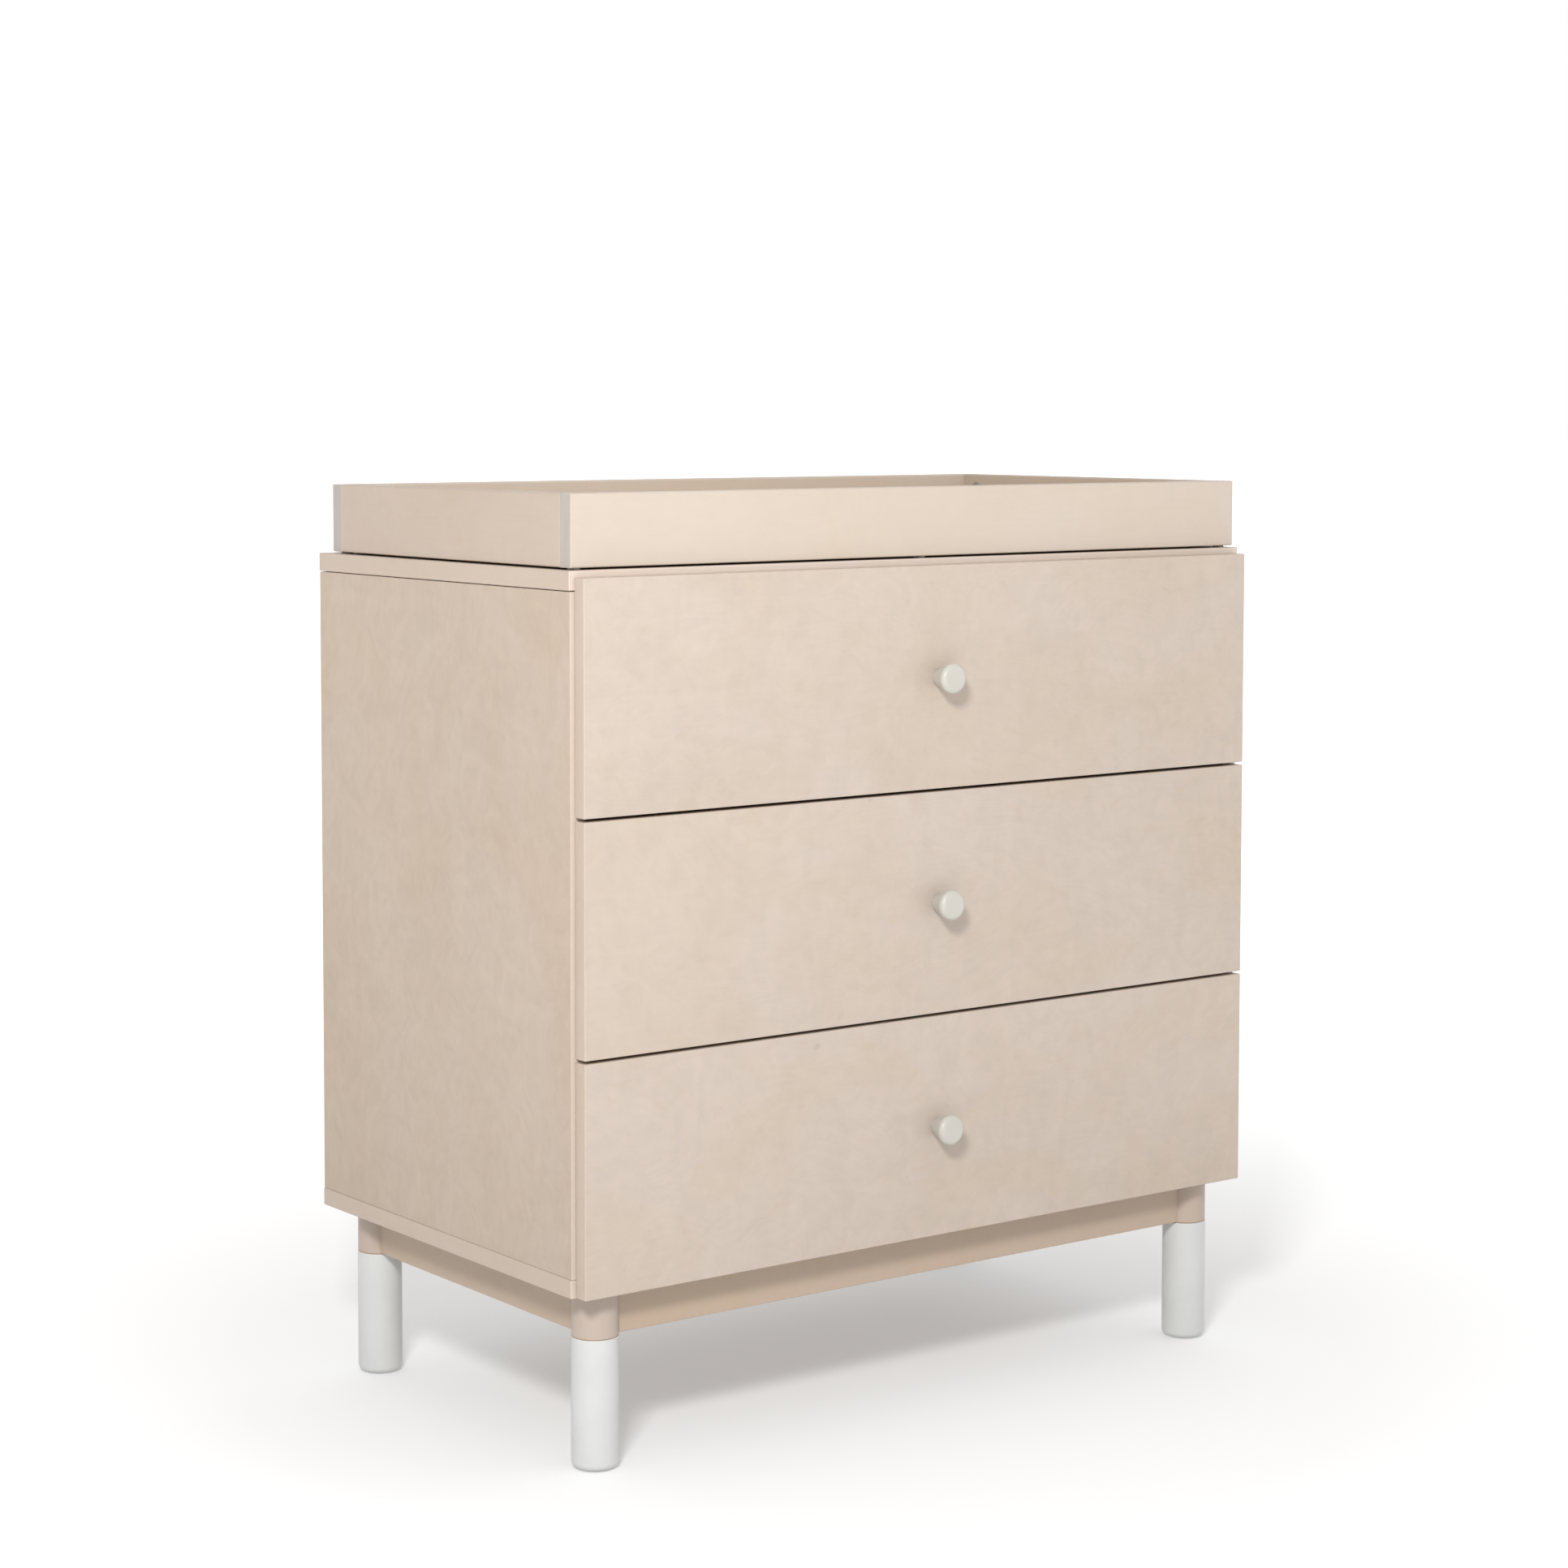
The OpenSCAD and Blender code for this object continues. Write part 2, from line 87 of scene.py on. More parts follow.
class Graph:
    """A material with short calls for the nodes that it is made of."""

    def __init__(self, name, **surface):
        self.material = bpy.data.materials.new(name)
        self.material.use_nodes = True
        self.tree = self.material.node_tree
        self.shader = self.tree.nodes["Principled BSDF"]
        for socket, value in surface.items():
            self.shader.inputs[socket.replace("_", " ")].default_value = value

    def node(self, kind, inputs=None, **settings):
        node = self.tree.nodes.new("ShaderNode" + kind)
        for key, value in settings.items():
            setattr(node, key, value)
        for socket, value in (inputs or {}).items():
            if isinstance(value, bpy.types.NodeSocket):
                self.tree.links.new(value, node.inputs[socket])
            else:
                node.inputs[socket].default_value = value
        return node

    def noise(self, vector, stretch=(1, 1, 1), scale=1.0, detail=2.0, rough=0.5, warp=0.0):
        """Even noise from 0 to 1; stretch squeezes it along each axis."""
        scaled = self.node("Mapping", {"Vector": vector, "Scale": stretch}).outputs[0]
        inputs = {"Vector": scaled, "Scale": scale, "Detail": detail, "Roughness": rough, "Distortion": warp}
        return self.node("TexNoise", inputs).outputs[0]

    def span(self, value, low, high, out_low=0.0, out_high=1.0):
        """Value from low to high, spread from out_low to out_high and held there."""
        inputs = {0: value, 1: low, 2: high, 3: out_low, 4: out_high}
        return self.node("MapRange", inputs).outputs[0]

    def math(self, operation, first, second=0.0, third=0.0):
        return self.node("Math", {0: first, 1: second, 2: third}, operation=operation).outputs[0]

    def mix(self, share, first, second, blend="MIX"):
        inputs = {0: share, 6: first, 7: second}
        return self.node("Mix", inputs, data_type="RGBA", blend_type=blend).outputs[2]

    def bump(self, height, strength, distance):
        bump = self.node("Bump", {"Height": height, "Strength": strength, "Distance": distance})
        self.link(bump.outputs[0], "Normal")

    def link(self, output, socket):
        self.tree.links.new(output, self.shader.inputs[socket])


GRAIN_TURN = {X: (0, 0, 0), Y: (0, 0, -math.pi / 2), Z: (0, math.pi / 2, 0)}


def board_space(graph, grain):
    """Object coordinates with the grain along X, moved apart for each piece by its seed."""
    place = graph.node("TexCoord").outputs["Object"]
    turned = graph.node("Mapping", {"Vector": place, "Rotation": GRAIN_TURN[grain]}).outputs[0]
    seed = graph.node("Attribute", attribute_name="seed").outputs["Fac"]
    jump = graph.node("CombineXYZ", {0: graph.math("MULTIPLY", seed, 7.3),
                                     1: graph.math("MULTIPLY", seed, 3.1),
                                     2: graph.math("MULTIPLY", seed, 5.7)}).outputs[0]
    return graph.node("VectorMath", {0: turned, 1: jump}, operation="ADD").outputs[0]


def maple(name, grain, tone, figure=1.0):
    """Pale washed maple: drifting tone, soft mottle, contour lines, fine fibres and short pores."""
    graph = Graph(name, Coat_Weight=0.1, Coat_Roughness=0.4, Specular_IOR_Level=0.4)
    space = board_space(graph, grain)
    drift = graph.noise(space, (0.7, 1.8, 1.8), 1.9, 2, 0.5, 0.3)
    warm = graph.noise(space, (0.9, 1.5, 1.5), 5.5, 2, 0.5, 0.8)
    cloud = graph.noise(space, (1.0, 1.3, 1.3), 19, 3, 0.5, 2.4)
    curl = graph.noise(space, (2.6, 1.0, 1.0), 12, 2, 0.5, 1.2)
    fleck = graph.noise(space, (0.8, 1.3, 1.3), 38, 2, 0.5, 1.4)
    sweep = graph.noise(space, (0.9, 1.5, 1.5), 5, 3, 0.5, 1.6)
    contour = graph.math("PINGPONG", graph.math("MULTIPLY", sweep, 32), 1.0)
    fibre = graph.noise(space, (3.0, 240.0, 240.0), 3.4, 3, 0.7)
    pore = graph.noise(space, (0.1, 1.0, 1.0), 2400, 1, 0.5)
    pores = graph.span(pore, 0.68, 0.8)
    knot = graph.span(graph.noise(space, (0.8, 1.0, 1.0), 34, 1, 0.5), 0.8, 0.86)
    warm_share = graph.span(warm, 0.4, 0.66, 0, 0.25 + 0.4 * figure)
    hue = graph.mix(warm_share, colour(*tone), colour(*YELLOWISH), "MULTIPLY")
    fleck_share = graph.span(fleck, 0.56, 0.74, 0, 0.2 * figure)
    hue = graph.mix(fleck_share, hue, colour(*FLECK), "MULTIPLY")
    shades = ((graph.span(drift, 0.3, 0.7), 0.08), (graph.span(cloud, 0.36, 0.64), 0.07 * figure),
              (graph.span(curl, 0.4, 0.64), 0.05 * figure), (contour, 0.045 * figure),
              (graph.span(fibre, 0.32, 0.7), 0.045), (pores, 0.1), (knot, 0.5))
    shade = 0.0
    for value, strength in shades:
        shade = graph.math("MULTIPLY_ADD", value, strength, shade)
    graph.link(graph.mix(shade, hue, colour(*[0.74 * part for part in tone])), "Base Color")
    graph.link(graph.span(cloud, 0.3, 0.7, 0.42, 0.52), "Roughness")
    graph.bump(graph.math("MULTIPLY_ADD", pores, -1.0, fibre), 0.2, 0.1 * MM)
    return graph.material


def end_grain(name):
    """Greyer cut end of a solid board, with fine rings across its thickness."""
    graph = Graph(name, Roughness=0.55, Specular_IOR_Level=0.35)
    space = graph.node("TexCoord").outputs["Object"]
    rings = graph.noise(space, (1.0, 1.0, 0.06), 420, 2, 0.6, 0.6)
    speck = graph.noise(space, (1.0, 1.0, 0.6), 1800, 2, 0.6)
    shade = graph.math("ADD", graph.math("MULTIPLY", graph.span(rings, 0.4, 0.65), 0.16),
                       graph.math("MULTIPLY", graph.span(speck, 0.45, 0.75), 0.12))
    graph.link(graph.mix(shade, colour(164, 156, 149), colour(130, 118, 108)), "Base Color")
    graph.bump(speck, 0.2, 0.1 * MM)
    return graph.material


def plywood(name, grain):
    """Birch plywood face with rotary figure."""
    graph = Graph(name, Roughness=0.5, Specular_IOR_Level=0.35)
    space = board_space(graph, grain)
    sweep = graph.noise(space, (0.6, 3.0, 3.0), 5, 3, 0.55, 1.8)
    rings = graph.math("PINGPONG", graph.math("MULTIPLY", sweep, 9), 1.0)
    fibre = graph.noise(space, (3.0, 220.0, 220.0), 3.0, 3, 0.7)
    pore = graph.noise(space, (0.08, 1.0, 1.0), 2200, 1, 0.5)
    shade = graph.math("ADD", graph.math("MULTIPLY", rings, 0.22), graph.math("MULTIPLY", fibre, 0.2))
    shade = graph.math("ADD", shade, graph.math("MULTIPLY", graph.span(pore, 0.62, 0.78), 0.3))
    graph.link(graph.mix(shade, colour(212, 192, 160), colour(166, 132, 92)), "Base Color")
    graph.bump(fibre, 0.25, 0.12 * MM)
    return graph.material


def ply_edge(name, thin):
    """Cut edge of plywood: light and dark plies across its thickness."""
    graph = Graph(name, Roughness=0.6, Specular_IOR_Level=0.3)
    place = graph.node("TexCoord").outputs["Object"]
    depth = graph.node("SeparateXYZ", {0: place}).outputs[thin]
    ply = graph.math("PINGPONG", depth, 1.3 * MM)
    dark = graph.span(ply, 0.5 * MM, 0.8 * MM)
    speck = graph.noise(place, (1, 1, 1), 700, 3, 0.7)
    dark = graph.math("MULTIPLY", dark, graph.span(speck, 0.2, 0.8, 0.5, 1.0))
    graph.link(graph.mix(dark, colour(206, 184, 150), colour(148, 112, 76)), "Base Color")
    graph.bump(graph.math("ADD", speck, graph.math("MULTIPLY", dark, 0.4)), 0.3, 0.15 * MM)
    return graph.material


def paint(name, tone):
    """Satin paint on turned wood: faint roller texture and slightly uneven gloss."""
    graph = Graph(name, Roughness=0.4, Coat_Weight=0.15, Coat_Roughness=0.28, Specular_IOR_Level=0.45)
    space = graph.node("TexCoord").outputs["Object"]
    peel = graph.noise(space, (1, 1, 0.8), 620, 2, 0.5)
    cloud = graph.noise(space, (1, 1, 1), 28, 3, 0.5)
    worn = colour(*[0.96 * part for part in tone])
    graph.link(graph.mix(graph.span(cloud, 0.3, 0.7, 0, 0.5), colour(*tone), worn), "Base Color")
    graph.link(graph.span(cloud, 0.3, 0.7, 0.36, 0.46), "Roughness")
    graph.bump(peel, 0.18, 0.12 * MM)
    return graph.material


def metal(name, tone, rough, brushed):
    """Plated metal with fine marks along Y and soft blotches."""
    graph = Graph(name, Base_Color=tone, Metallic=1.0)
    space = graph.node("TexCoord").outputs["Object"]
    marks = graph.noise(space, (60, brushed, 60), 30, 3, 0.6)
    blotch = graph.noise(space, (1, 1, 1), 90, 3, 0.6)
    graph.link(graph.span(blotch, 0.3, 0.7, rough - 0.08, rough + 0.1), "Roughness")
    graph.bump(graph.math("ADD", marks, blotch), 0.12, 0.1 * MM)
    return graph.material


def felt(name):
    """Pressed felt with a fuzzy surface."""
    graph = Graph(name, Roughness=0.95, Sheen_Weight=0.4)
    space = graph.node("TexCoord").outputs["Object"]
    fuzz = graph.noise(space, (1, 1, 1), 2400, 4, 0.8)
    graph.link(graph.mix(fuzz, colour(196, 190, 180), colour(150, 143, 132)), "Base Color")
    graph.bump(fuzz, 0.8, 0.3 * MM)
    return graph.material


def nylon(name):
    """Matt moulded plastic."""
    graph = Graph(name, Roughness=0.5)
    space = graph.node("TexCoord").outputs["Object"]
    grain = graph.noise(space, (1, 1, 1), 1500, 3, 0.6)
    graph.link(graph.mix(grain, colour(216, 214, 208), colour(196, 194, 188)), "Base Color")
    graph.bump(grain, 0.3, 0.08 * MM)
    return graph.material


def back_board(name):
    """Thin board with a printed pale wood pattern."""
    graph = Graph(name, Roughness=0.62, Specular_IOR_Level=0.3)
    space = board_space(graph, Z)
    lines = graph.noise(space, (0.4, 14.0, 14.0), 7, 4, 0.6, 0.7)
    speck = graph.noise(space, (1, 1, 1), 900, 3, 0.7)
    shade = graph.math("ADD", graph.math("MULTIPLY", graph.span(lines, 0.35, 0.65), 0.3),
                       graph.math("MULTIPLY", speck, 0.12))
    graph.link(graph.mix(shade, colour(204, 190, 172), colour(170, 150, 126)), "Base Color")
    graph.bump(speck, 0.25, 0.1 * MM)
    return graph.material


# Tones that drift over the maple and fleck it, and the dark golden-brown line at the lower rim of the posts
YELLOWISH = (252, 247, 238)
FLECK = (247, 232, 210)
RIM_TONE = (184, 142, 96)

# Maple tones by the part they are on, each set to look right under this scene's light: lit and shaded copies
# of one maple, so each tone holds painted light or shade (side panels painted darker than drawer fronts,
# banding lighter or darker by part)
VENEER_LIT_AND_SHADED_TONES = {"front": (185, 172, 160), "panel": (181, 167, 154), "side": (176, 160, 145)}
BANDING_LIT_AND_SHADED_TONES = {"front": (184, 169, 155), "panel": (201, 187, 176), "side": (198, 183, 170)}
SHORT_EDGE_TONE = (179, 163, 149)
# Painted shade: the tray side boards and the aprons are set darker than the tray front boards, for the shade
# that falls on them
SOLID_LIT_AND_SHADED_TONES = {"tray_front": (190, 177, 164), "tray_side": (176, 160, 146), "apron": (176, 157, 139),
               "post": (176, 161, 149)}


def maple_set(name, tone, figure):
    """The same maple with its grain along X, Y and Z."""
    return [maple(f"maple_{name}_{'xyz'[axis]}", axis, tone, figure) for axis in (X, Y, Z)]


# Lit and shaded copies of one maple: the tone of each part carries painted light or shade
VENEER_KINDS = {kind: maple_set(kind, tone, 1.0) for kind, tone in VENEER_LIT_AND_SHADED_TONES.items()}
SOLID_KINDS = {kind: maple_set(kind, tone, 0.35) for kind, tone in SOLID_LIT_AND_SHADED_TONES.items()}
BANDING = {kind: maple_set(f"{kind}_banding", tone, 0.3) for kind, tone in BANDING_LIT_AND_SHADED_TONES.items()}
SHORT_EDGE = maple_set("short_edge", SHORT_EDGE_TONE, 0.3)
RIM_LINE = maple("maple_rim_line", Z, RIM_TONE, 0.3)
PLY = [plywood(f"birch_ply_{'xyz'[axis]}", axis) for axis in (X, Y, Z)]
PLY_EDGE = [ply_edge(f"birch_ply_edge_{'xyz'[axis]}", axis) for axis in (X, Y, Z)]
END = end_grain("maple_end_grain")
# Painted light: the feet's white is set lighter than the knobs' white, to make up for the shade the feet
# stand in near the floor
FOOT_PAINT_WITH_PAINTED_LIGHT = paint("foot_paint_painted_light", (194, 195, 193))
KNOB_PAINT = paint("knob_paint", (180, 177, 169))
STEEL = metal("zinc_plated_steel", (0.68, 0.69, 0.70, 1), 0.34, 1.0)
CAST = metal("die_cast_zinc", (0.46, 0.45, 0.44, 1), 0.5, 30.0)
FELT = felt("pressed_felt")
NYLON = nylon("nylon")
BACK = back_board("printed_board")

# ---- Mesh work ----


def add_piece(name, work, body, replaced=()):
    """Turns a bmesh into a piece that rides on a body and stands for CAD nodes."""
    mesh = bpy.data.meshes.new(name)
    work.to_mesh(mesh)
    work.free()
    piece = bpy.data.objects.new(name, mesh)
    scene.collection.objects.link(piece)
    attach(piece, body)
    if replaced:
        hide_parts(*replaced)
    return piece


def apply_modifiers(piece):
    """Makes what the modifiers show the piece's own mesh."""
    depsgraph = bpy.context.evaluated_depsgraph_get()
    plain = piece.data
    piece.data = bpy.data.meshes.new_from_object(piece.evaluated_get(depsgraph))
    piece.data.name = plain.name
    piece.modifiers.clear()
    bpy.data.meshes.remove(plain)


def cut_away(piece, cutter):
    """Takes the closed shells of a bmesh out of a piece."""
    mesh = bpy.data.meshes.new("cutter")
    cutter.to_mesh(mesh)
    cutter.free()
    tool = bpy.data.objects.new("cutter", mesh)
    scene.collection.objects.link(tool)
    boolean = piece.modifiers.new("Cut", "BOOLEAN")
    boolean.operation, boolean.solver, boolean.object = "DIFFERENCE", "EXACT", tool
    apply_modifiers(piece)
    bpy.data.objects.remove(tool)
    bpy.data.meshes.remove(mesh)


def add_block(work, low, high):
    size = Vector(high) - Vector(low)
    place = Matrix.Translation((Vector(high) + Vector(low)) / 2)
    bmesh.ops.create_cube(work, size=1, matrix=place @ Matrix.Diagonal((*size, 1)))


AXIS_TURN = {X: Matrix.Rotation(math.pi / 2, 4, "Y"), Y: Matrix.Rotation(-math.pi / 2, 4, "X"), Z: Matrix()}


def add_rod(work, start, axis, length, radius):
    """Closed cylinder from a start point, along an axis in its positive direction."""
    middle = Vector(start)
    middle[axis] += length / 2
    bmesh.ops.create_cone(work, cap_ends=True, segments=48, radius1=radius, radius2=radius, depth=length,
                          matrix=Matrix.Translation(middle) @ AXIS_TURN[axis])


def smooth(piece, angle=35):
    """Smooth shading that keeps flat faces flat and edges over the angle sharp."""
    piece.data.shade_smooth()
    piece.data.set_sharp_from_angle(angle=math.radians(angle))
    normals = piece.modifiers.new("Normals", "WEIGHTED_NORMAL")
    normals.keep_sharp = True


seeds = iter(range(1, 200))


def set_seed(mesh):
    """One number all over a piece, which moves its wood figure apart from the next piece's."""
    seed = mesh.attributes.new("seed", "FLOAT", "POINT")
    seed.data.foreach_set("value", [float(next(seeds))] * len(mesh.vertices))


def main_axis(vector):
    return max((X, Y, Z), key=lambda axis: abs(vector[axis]))


def edge_sides(edge, centre):
    """Sides of a block that an edge lies on, as -1 or 1, with 0 along the edge."""
    middle = (edge.verts[0].co + edge.verts[1].co) / 2 - centre
    along = main_axis(edge.verts[0].co - edge.verts[1].co)
    return tuple(0 if axis == along else int(math.copysign(1, middle[axis])) for axis in (X, Y, Z))


def dress(piece, low, high, grain, kind):
    """Gives each face of a board its material by the way it looks."""
    size = high - low
    thin = min((X, Y, Z), key=lambda axis: size[axis])
    across = 3 - thin - grain
    if kind == "ply":
        looks = {thin: PLY[grain], grain: PLY_EDGE[thin], across: PLY_EDGE[thin]}
    elif kind in SOLID_KINDS:
        looks = {thin: SOLID_KINDS[kind][grain], grain: END, across: SOLID_KINDS[kind][grain]}
    else:
        looks = {thin: VENEER_KINDS[kind][grain], grain: SHORT_EDGE[across], across: BANDING[kind][grain]}
    for axis in (X, Y, Z):
        piece.data.materials.append(looks[axis])
    for face in piece.data.polygons:
        face.material_index = main_axis(face.normal)
    set_seed(piece.data)


def board(node, body, grain, kind="panel", radius=1.2 * MM, special=None, cutter=None,
          joint=0.0):
    """Board the size of a CAD node, with rounded edges, bores and grooves, and wood on each face.

    special gives other radii by edge, with keys as edge_sides returns them. joint is the height
    that stays open over the board as a dark line.
    """
    special = special or {}
    low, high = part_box(node)
    high.z -= joint
    work = bmesh.new()
    add_block(work, low, high)
    widest = max([radius, *special.values()])
    weight = work.edges.layers.float.new("bevel_weight_edge")
    for edge in work.edges:
        edge[weight] = special.get(edge_sides(edge, (low + high) / 2), radius) / widest
    piece = add_piece(f"{node}_finish", work, body, [node])
    bevel = piece.modifiers.new("Edges", "BEVEL")
    bevel.width, bevel.segments, bevel.limit_method = widest, 4, "WEIGHT"
    apply_modifiers(piece)
    if cutter is not None:
        cut_away(piece, cutter)
    dress(piece, low, high, grain, kind)
    smooth(piece)
    return piece


def arc(centre_r, centre_z, radius, start, end, steps):
    """Points of a round corner in a lathe profile; angles in degrees from outwards to up."""
    angles = [math.radians(start + (end - start) * step / steps) for step in range(steps + 1)]
    return [(centre_r + radius * math.cos(a), centre_z + radius * math.sin(a)) for a in angles]


def lathe(name, profile, place, axis, body, replaced, materials, pick=None, turns=96):
    """Turned piece: a profile of (radius, height) points that ends on the axis at both ends."""
    work = bmesh.new()
    turn = Matrix.Translation(place) @ axis
    rings = []
    for radius, height in profile:
        if radius < 1e-6:
            rings.append([work.verts.new(turn @ Vector((0, 0, height)))])
            continue
        angles = [math.tau * step / turns for step in range(turns)]
        rings.append([work.verts.new(turn @ Vector((radius * math.cos(a), radius * math.sin(a), height)))
                      for a in angles])
    for index, (below, above) in enumerate(zip(rings, rings[1:])):
        for step in range(turns):
            after = (step + 1) % turns
            corners = [below[step % len(below)], below[after % len(below)],
                       above[after % len(above)], above[step % len(above)]]
            face = work.faces.new(list(dict.fromkeys(corners)))
            face.material_index = pick(index) if pick else 0
    bmesh.ops.recalc_face_normals(work, faces=work.faces)
    piece = add_piece(name, work, body, replaced)
    for material in materials:
        piece.data.materials.append(material)
    set_seed(piece.data)
    smooth(piece, 40)
    return piece


# ---- Cutters that follow the frame's fittings ----


def corners_of(node, inset):
    """Centres along Y and Z of round fittings that sit in the corners of a node's box."""
    low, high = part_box(node)
    heights = {low.z + inset, high.z - inset} if high.z - low.z > 3 * inset else {(low.z + high.z) / 2}
    return [(y, z) for y in (low.y + inset, high.y - inset) for z in heights]


CAM_RADIUS = 7.4 * MM
CAM_BORE = 7.5 * MM
CAM_DEPTH = 12.5 * MM
# How far a cutter reaches past a face, so that it opens it cleanly
PAST = 1 * MM


def cam_cutter(node, inner, side):
    """Bores for the cam locks in the inner face of a board on the left (-1) or right (1)."""
    work = bmesh.new()
    for y, z in corners_of(node, CAM_RADIUS):
        start = inner if side > 0 else inner - CAM_DEPTH
        low = start - (PAST if side > 0 else 0)
        add_rod(work, (low, y, z), X, CAM_DEPTH + PAST, CAM_BORE)
    return work


def back_rabbet(work):
    """Room for the back panel in the rear edges of the carcass."""
    low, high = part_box("back_panel")
    add_block(work, low, (high.x, high.y + PAST, high.z))


def post_cutter():
    """Round room for the four posts in the aprons."""
    work = bmesh.new()
    for corner in CORNERS:
        low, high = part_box(f"{corner}_leg_post")
        centre = (low + high) / 2
        start = (centre.x, centre.y, low.z - PAST)
        add_rod(work, start, Z, high.z - low.z + 2 * PAST, (high.x - low.x) / 2)
    return work


# ---- Cabinet ----

SIDE_R = 0.5 * MM
APRON_R = 1.0 * MM
# Open joint that shows as a dark line between the side panels and the top
TOP_JOINT = 0.8 * MM
POST_RIM = 0.9 * MM
FOOT_LOW_R = 6 * MM
FOOT_TOP_R = 0.8 * MM


def build_carcass():
    board("top_panel", "cabinet", X)
    bottom_cut = bmesh.new()
    back_rabbet(bottom_cut)
    board("bottom_panel", "cabinet", X, cutter=bottom_cut)
    for side, name in ((-1, "left_side_panel"), (1, "right_side_panel")):
        low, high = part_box(name)
        cutter = cam_cutter("cabinet_cam_locks", high.x if side < 0 else low.x, side)
        back_rabbet(cutter)
        board(name, "cabinet", Z, "side", SIDE_R, cutter=cutter, joint=TOP_JOINT)


def build_base():
    for name in ("front_apron", "rear_apron"):
        board(name, "cabinet", X, "apron", APRON_R, cutter=post_cutter())
    for name in ("left_apron", "right_apron"):
        board(name, "cabinet", Y, "apron", APRON_R, cutter=post_cutter())
    for corner in CORNERS:
        build_leg(corner)


def build_leg(corner):
    """Wooden post with a dark golden-brown lower rim, on a painted foot with a well rounded lower end."""
    low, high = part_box(f"{corner}_leg_post")
    radius, height = (high.x - low.x) / 2, high.z - low.z
    profile = [(0, 0), (radius - POST_RIM, 0), (radius, POST_RIM), (radius, height * 0.5),
               (radius, height), (0, height)]
    place = ((low.x + high.x) / 2, (low.y + high.y) / 2, low.z)
    lathe(f"{corner}_leg_post_turned", profile, place, Matrix(), "cabinet",
          [f"{corner}_leg_post"], [SOLID_KINDS["post"][Z], RIM_LINE], lambda index: 1 if index <= 1 else 0)
    low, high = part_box(f"{corner}_foot")
    radius, height = (high.x - low.x) / 2, high.z - low.z
    profile = [(0, 0), *arc(radius - FOOT_LOW_R, FOOT_LOW_R, FOOT_LOW_R, -90, 0, 12),
               (radius, height * 0.5),
               *arc(radius - FOOT_TOP_R, height - FOOT_TOP_R, FOOT_TOP_R, 0, 90, 5), (0, height)]
    lathe(f"{corner}_foot_turned", profile, (place[0], place[1], low.z), Matrix(), "cabinet",
          [f"{corner}_foot"], [FOOT_PAINT_WITH_PAINTED_LIGHT])


# ---- Drawers ----

KNOB_NECK = 8 * MM
KNOB_RIM = 4.8 * MM
FRONT_R = 1.2 * MM
PLY_R = 0.8 * MM
BOTTOM_R = 0.3 * MM
GROOVE_PLAY = 0.3 * MM


def knob_profile(radius, length):
    """Neck on the wall, straight cone, and a rounded rim that the cone runs into."""
    centre_r, centre_h = radius - KNOB_RIM, length - KNOB_RIM
    away_r, away_h = KNOB_NECK - centre_r, -centre_h
    tangent = math.degrees(math.atan2(away_h, away_r) + math.acos(KNOB_RIM / math.hypot(away_r, away_h)))
    rim = arc(centre_r, centre_h, KNOB_RIM, tangent, 90, 14)
    cone = [(KNOB_NECK + (rim[0][0] - KNOB_NECK) * t, rim[0][1] * t) for t in (0, 0.25, 0.5, 0.75)]
    return [(0, 0), *cone, *rim, (centre_r * 0.5, length), (0, length)]


def build_knob(level, body):
    low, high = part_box(f"{level}_knob")
    profile = knob_profile((high.x - low.x) / 2, high.y - low.y)
    place = ((low.x + high.x) / 2, high.y, (low.z + high.z) / 2)
    lathe(f"{level}_knob_turned", profile, place, Matrix.Rotation(math.pi / 2, 4, "X"), body,
          [f"{level}_knob"], [KNOB_PAINT])


def groove_cutter(node, height=None, grow=0.0):
    """Room for a panel in a board's groove, for its whole height or only the lower part of it."""
    low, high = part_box(node)
    low, high = low - Vector((grow, grow, 0)), high + Vector((grow, grow, 0))
    if height:
        high.z = low.z + height
    work = bmesh.new()
    add_block(work, low, high)
    return work


def build_drawer(level):
    body = f"{level}_drawer"
    bottom = f"{level}_drawer_bottom"
    board(f"{level}_drawer_front", body, X, "front", FRONT_R, cutter=groove_cutter(bottom))
    for side in ("left", "right"):
        board(f"{level}_drawer_{side}_side", body, Y, "ply", PLY_R,
              cutter=groove_cutter(bottom, grow=GROOVE_PLAY))
    board(f"{level}_drawer_back", body, X, "ply", PLY_R)
    board(bottom, body, X, "ply", BOTTOM_R)
    build_knob(level, body)


# ---- Changing tray ----

# Radii on the tray boards: outer lower edge, the same at the rear, both upper edges, all others
TRAY_LOW = 1.6 * MM
TRAY_LOW_REAR = 6 * MM
TRAY_TOP = 2.2 * MM
TRAY_ARRIS = 0.7 * MM
# Height of the base panel's tongue, and the gap that its field leaves to the boards
TRAY_TONGUE = 3 * MM
TRAY_FIELD_GAP = 0.5 * MM


def tray_edges(outer, low=TRAY_LOW):
    """Edge radii of a tray board by the sides they lie on; outer is the direction out of the tray."""
    inner = tuple(-part for part in outer)
    return {(*outer, -1): low, (*inner, -1): TRAY_ARRIS, (*outer, 1): TRAY_TOP, (*inner, 1): TRAY_TOP}


def build_tray():
    long_boards = (("tray_front_board", -1, TRAY_LOW), ("tray_back_board", 1, TRAY_LOW_REAR))
    for name, side, low_edge in long_boards:
        board(name, "tray", X, "tray_front", TRAY_ARRIS, tray_edges((0, side), low_edge),
              cutter=groove_cutter("tray_base_panel", TRAY_TONGUE))
    for name, side in (("tray_left_board", -1), ("tray_right_board", 1)):
        low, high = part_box(name)
        cutter = cam_cutter("tray_cam_locks", high.x if side < 0 else low.x, side)
        base_low, base_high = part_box("tray_base_panel")
        add_block(cutter, base_low, (base_high.x, base_high.y, base_low.z + TRAY_TONGUE))
        board(name, "tray", Y, "tray_side", TRAY_ARRIS, tray_edges((side, 0)), cutter=cutter)
    build_tray_base()


